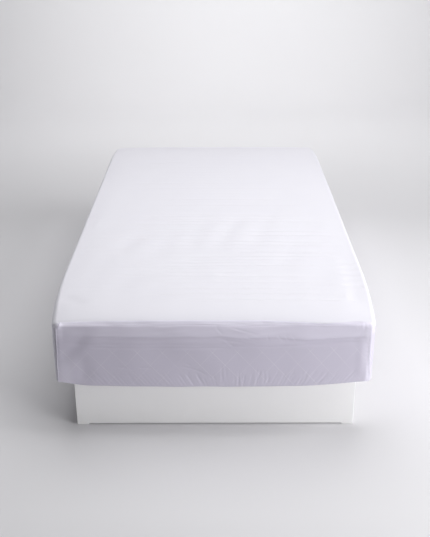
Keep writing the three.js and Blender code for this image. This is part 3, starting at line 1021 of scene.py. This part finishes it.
def mattress_rings():
    """The insets and heights of the rings, from the middle of the underside to the top's."""
    bend = np.linspace(0, math.pi / 2, 6)
    flat = np.array([HALF_WIDTH - 1e-6, 0.42, 0.3, 0.2, 0.12, 0.08, 0.055])
    under_inset = PAD_INSET + PAD_LOW_EDGE * (1 - np.sin(bend))
    under_z = UNDERSIDE + PAD_LOW_EDGE * (1 - np.cos(bend))
    over_inset = PAD_INSET + PAD_TOP_EDGE * (1 - np.cos(bend))
    over_z = PAD_TOP - PAD_TOP_EDGE * (1 - np.sin(bend))
    drop_z = np.linspace(under_z[-1], over_z[0], 8)[1:-1]
    wall = 0 * drop_z + PAD_INSET
    inset = np.concatenate([flat, under_inset, wall, over_inset, flat[::-1]])
    z = np.concatenate([0 * flat + UNDERSIDE, under_z, drop_z, over_z, 0 * flat + PAD_TOP])
    return inset[:, None], z[:, None]


def mattress_points():
    """Each ring is the outline of the four walls and corners at its inset; where the inset
    passes the corner radius, the corners are square. The rings settle with the bed."""
    walls = [stations(side, 24 if side % 2 == 0 else 46) for side in range(4)]
    places = Stations(*(np.concatenate([a[:-1] for a in parts]) for parts in zip(*walls)))
    inset, z = mattress_rings()
    x, y = round_the_bed(places, inset, np.clip(places.corner - inset, 0, None))
    return settle(x, y, z + 0 * x)


points = mattress_points()[::-1]
faces = grid_faces(*points.shape[:2], closed=True)
mattress_pad = add_mesh("mattress_pad", points, faces)
add_uv(mattress_pad, "cloth", points[..., 0], points[..., 1] + points[..., 2])
mattress_pad.modifiers.new("close the middle", "WELD").merge_threshold = 0.01 * MM
print("mattress", len(faces), "faces")

# %% [markdown]
# ## Writing materials as sums
# A material is a small program of nodes. Wiring it by hand takes many lines, so one class
# wraps a socket and lets Python's own signs add the Math nodes: `line * 0.3 + 1` is then two
# nodes. Every other node comes from one method that is given the node's type, its settings
# and what goes into its sockets.


# %% Material helpers
class Wire:
    """A socket that can be used in a sum."""

    def __init__(self, recipe, socket):
        self.recipe, self.socket = recipe, socket

    def maths(self, operation, *values):
        inputs = dict(enumerate(values))
        return self.recipe.node("ShaderNodeMath", {"operation": operation}, inputs)

    def __add__(self, other):
        return self.maths("ADD", self, other)

    def __sub__(self, other):
        return self.maths("SUBTRACT", self, other)

    def __mul__(self, other):
        return self.maths("MULTIPLY", self, other)


class Recipe:
    """A material with a Principled shader, made node by node."""

    def __init__(self, name, roughness, **numbers):
        self.material = bpy.data.materials.new(name)
        self.material.use_nodes = True
        self.tree = self.material.node_tree
        self.shader = self.tree.nodes["Principled BSDF"]
        for socket, value in {"Roughness": roughness, **numbers}.items():
            self.shader.inputs[socket.replace("_", " ")].default_value = value

    def node(self, kind, settings=None, inputs=None, output=0):
        """A node of this kind: its settings are set first, then each socket gets its value or
        its link. It gives back one output as a wire."""
        made = self.tree.nodes.new(kind)
        for name, value in (settings or {}).items():
            setattr(made, name, value)
        for name, value in (inputs or {}).items():
            if isinstance(value, Wire):
                self.tree.links.new(value.socket, made.inputs[name])
            else:
                made.inputs[name].default_value = value
        return Wire(self, made.outputs[output])

    def feed(self, socket, wire):
        self.tree.links.new(wire.socket, self.shader.inputs[socket])

    def noise(self, size, detail=2.0):
        """Soft noise from 0 to 1 over the object, with spots about this large, in metres."""
        place = self.node("ShaderNodeTexCoord", output="Object")
        inputs = {"Vector": place, "Scale": 1 / size, "Detail": detail}
        return self.node("ShaderNodeTexNoise", None, inputs)

    def uv(self, name):
        """The two numbers of a UV map."""
        both = self.node("ShaderNodeUVMap", {"uv_map": name})
        return [self.node("ShaderNodeSeparateXYZ", None, {0: both}, output=k) for k in (0, 1)]

    def value(self, name):
        """A number that the points of the mesh carry."""
        return self.node("ShaderNodeAttribute", {"attribute_name": name}, output="Fac")

    def blend(self, share, first, second):
        """One colour turning into another as the share goes from 0 to 1."""
        settings = {"data_type": "RGBA"}
        return self.node("ShaderNodeMix", settings, {0: share, 6: first, 7: second}, output=2)

    def bump(self, height, distance, strength):
        inputs = {"Strength": strength, "Distance": distance, "Height": height}
        self.feed("Normal", self.node("ShaderNodeBump", None, inputs))


def paint_all(material, *pieces):
    """The material goes into each slot that the piece has, or a new one."""
    for piece in pieces:
        for slot in piece.material_slots:
            slot.material = material
        if not piece.material_slots:
            piece.data.materials.append(material)


trial = Recipe("trial", 0.5).material
print("nodes of an empty recipe:", len(trial.node_tree.nodes))
bpy.data.materials.remove(trial)

# %% [markdown]
# ## The knit
# The cover is a fine white knit with a waterproof backing, which gives it a soft, slightly satin
# surface and a cool, faintly lavender white in the shade. Each knit drifts between two close
# tints, the loops are a fine bump from the UV map in metres, and on the skirts the quilting below
# draws its pale lines. A picture of cloth would repeat and blur. The skirts are copies of the
# knit painted greyer than the top, as painted shade, the foot and the right skirt most of all.


# %% Knit material
RIBS_APART, ROWS_APART, LOOP_HEIGHT, LINE_WIDTH = 1.6 * MM, 1.3 * MM, 0.05 * MM, 0.017
RIDGE_WHITE = (1.0, 1.0, 1.0, 1)
# The tint of the painted light on the skirts, and the grey of the painted shade on the top panel.
PAINTED_LIGHT_TINT, EDGE_SHADE_GREY = (0.86, 0.83, 0.95, 1), (0.74, 0.73, 0.80, 1)


def quilt_lines(cloth):
    """Lines where the sum or the difference of the two counts is a whole number. The lines of
    the sum, which fall to the right, are the clearer ones."""
    counted, up = cloth.uv("quilting")

    def line(count):
        off = count.maths("PINGPONG", count, 0.5)
        inputs = {"Value": off, "From Max": LINE_WIDTH, "To Min": 1.0, "To Max": 0.0}
        return cloth.node("ShaderNodeMapRange", {"interpolation_type": "SMOOTHSTEP"}, inputs)

    return (line(counted + up) + line(counted - up) * 0.7) * cloth.value("quilting_shows")


def knit(name, tint, deeper, quilted):
    """The knit: two close tints, the ribs and rows of its loops, the quilting's lines and painted
    light on the skirts, and painted shade on the top.
    """
    cloth = Recipe(name, 0.62, Sheen_Weight=0.08, Sheen_Roughness=0.5, Specular_IOR_Level=0.35)
    across, down = cloth.uv("cloth")
    colour = cloth.blend(cloth.noise(0.16, 3.0), tint, deeper)
    ribs = across.maths("SINE", across * (2 * math.pi / RIBS_APART))
    loops = ribs.maths("SINE", down * (2 * math.pi / ROWS_APART) + ribs * 1.2)
    height = ribs * 0.5 + loops * 0.5
    if quilted:
        lines = quilt_lines(cloth)
        # Painted light: the skirts turn to a lighter tint by the value on each point.
        colour = cloth.blend(cloth.value("painted_light"), colour, PAINTED_LIGHT_TINT)
        colour = cloth.blend(lines * 0.31, colour, RIDGE_WHITE)
        height = height + lines * 4.0
    else:
        # Painted shade: the top panel greys towards its edges, most over the foot's edge.
        colour = cloth.blend(cloth.value("painted_edge_shade") * 0.75, colour, EDGE_SHADE_GREY)
    cloth.feed("Base Color", colour)
    cloth.bump(height, LOOP_HEIGHT, 0.6)
    return cloth.material


# The skirts get copies of the knit painted darker than the top, as painted shade: the foot and
# the right skirt most, the head and the left less.
top_knit = knit("top knit", (0.85, 0.84, 0.90, 1), (0.83, 0.82, 0.885, 1), quilted=False)
side_knit_painted_shade = knit("side knit painted shade", (0.76, 0.745, 0.83, 1), (0.74, 0.725, 0.81, 1), quilted=True)
foot_knit_painted_shade = knit("foot knit painted shade", (0.615, 0.585, 0.69, 1), (0.585, 0.555, 0.66, 1), quilted=True)
paint_all(top_knit, top_sheet)
paint_all(foot_knit_painted_shade, *skirts[:2])
paint_all(side_knit_painted_shade, *skirts[2:])
print("knit materials:", top_knit.name, side_knit_painted_shade.name, foot_knit_painted_shade.name)

# %% [markdown]
# ## Thread, ticking and paint
# The stitches are spun polyester thread. The mattress's underside is a plain woven ticking.
# The base is board with a satin white paint, whose roller marks give it a very slight grain.
# Each has its own small recipe, because none of them is a single flat colour.


# %% Other materials
def thread():
    spun, light, dark = Recipe("thread", 0.55), (0.86, 0.86, 0.9, 1), (0.74, 0.74, 0.8, 1)
    spun.feed("Base Color", spun.blend(spun.noise(0.002), light, dark))
    return spun.material


def ticking():
    """Diagonal ribs of a twill: a sine of the sum of the two UV numbers."""
    weave = Recipe("ticking", 0.85)
    across, along = weave.uv("cloth")
    ribs = across.maths("SINE", (across + along) * (2 * math.pi / 0.002))
    tint = weave.blend(weave.noise(0.05), (0.78, 0.77, 0.74, 1), (0.70, 0.69, 0.66, 1))
    weave.feed("Base Color", tint)
    weave.bump(ribs, 0.08 * MM, 0.5)
    return weave.material


def satin_paint():
    paint = Recipe("satin paint", 0.42)
    mottle = paint.noise(0.22, 3.0)
    paint.feed("Base Color", paint.blend(mottle, (0.95, 0.945, 0.95, 1), (0.92, 0.915, 0.92, 1)))
    paint.feed("Roughness", mottle * 0.12 + 0.36)
    paint.bump(paint.noise(0.0025), 0.05 * MM, 0.3)
    return paint.material


BOARDS = [f"base_{side}_board" for side in ("foot", "head", "left", "right")] + ["base_deck"]
paint_all(thread(), edge_stitches, corner_stitches)
paint_all(ticking(), mattress_pad)
boards = [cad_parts[name] for name in BOARDS]
paint_all(satin_paint(), *boards)
print("painted", len(boards), "boards")

# %% [markdown]
# ## What each piece is
# The CAD solids of the skirts, the top panel and the mattress are hidden, as the new pieces take
# their place, and every new piece is carried by the root body.

for skirt, node in zip(skirts, SKIRT_NODES):
    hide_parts(node)
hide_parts("top_panel")
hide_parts("mattress")
for piece in [*skirts, top_sheet, mattress_pad, edge_stitches, corner_stitches]:
    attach(piece, "root")

# %% [markdown]
# ## The floor
# The bed stands in a pale studio. The floor runs back and curves up into the backdrop, so no
# line shows behind the bed. It is one section carried from side to side, like the skirts.

# %% Floor
FLOOR_WIDE, FLOOR_FRONT, FLOOR_BACK, SWEEP, WALL_HIGH = 14.0, -6.0, 3.4, 1.6, 5.0


def studio_floor():
    """The sweep's section carried from side to side: flat, a quarter circle, then upright."""
    bend = np.linspace(0, math.pi / 2, 16)
    across = np.linspace(-FLOOR_WIDE / 2, FLOOR_WIDE / 2, 8)
    along = np.array([FLOOR_FRONT, *(FLOOR_BACK + SWEEP * np.sin(bend)), FLOOR_BACK + SWEEP])
    up = np.array([0, *(SWEEP * (1 - np.cos(bend))), WALL_HIGH])
    points = np.stack(np.broadcast_arrays(across, along[:, None], up[:, None]), axis=-1)
    floor = add_mesh("studio_floor", points[::-1], grid_faces(*points.shape[:2]))
    pale = Recipe("pale paper", 0.9)
    tints = (0.77, 0.765, 0.785, 1), (0.74, 0.735, 0.755, 1)
    pale.feed("Base Color", pale.blend(pale.noise(1.2), *tints))
    paint_all(pale.material, floor)
    return floor


studio_floor()
print("the floor is", FLOOR_WIDE, "m wide")

# %% [markdown]
# ## The light
# A large soft key stands high to the right of the camera, so that the right of the bed is
# brighter than the left and the left side is in shade. A wide light straight above makes the
# top far brighter than the foot, and a lower one at the front rakes over the foot from the
# right, which is what makes its folds readable. A weak one opens the shade at the left, and
# one behind the bed looks at the backdrop only. Lights all round, or a bright world, would be
# simpler, but would wash the folds out.


# %% Light
def soft_light(name, at, towards, size, watts):
    """A square area light that faces a point."""
    lamp = bpy.data.lights.new(name, "AREA")
    lamp.size, lamp.energy = size, watts
    holder = bpy.data.objects.new(name, lamp)
    holder.location = at
    holder.rotation_euler = (Vector(towards) - Vector(at)).to_track_quat("-Z", "Y").to_euler()
    holder.visible_camera = False
    bpy.context.collection.objects.link(holder)


soft_light("key", (3.4, -1.6, 2.8), (0.1, -0.4, 0.3), 2.0, 64)
soft_light("overhead", (0.3, 0.1, 3.1), (0.3, 0.1, 0.0), 3.0, 71)
soft_light("front", (2.75, -2.7, 1.0), (0.3, -0.9, 0.3), 1.6, 74)
soft_light("left", (-3.2, 0.3, 0.6), (-0.4, -0.6, 0.3), 1.6, 15)
soft_light("backdrop", (0.2, 2.8, 3.5), (0.2, 5.2, 2.3), 4.0, 118)
world = bpy.data.worlds.new("studio")
world.use_nodes = True
background = world.node_tree.nodes["Background"].inputs
background["Color"].default_value = (0.93, 0.94, 0.96, 1)
background["Strength"].default_value = 0.02
bpy.context.scene.world = world
bpy.context.scene.view_settings.view_transform = "Standard"
print("lights:", [o.name for o in bpy.data.objects if o.type == "LIGHT"])
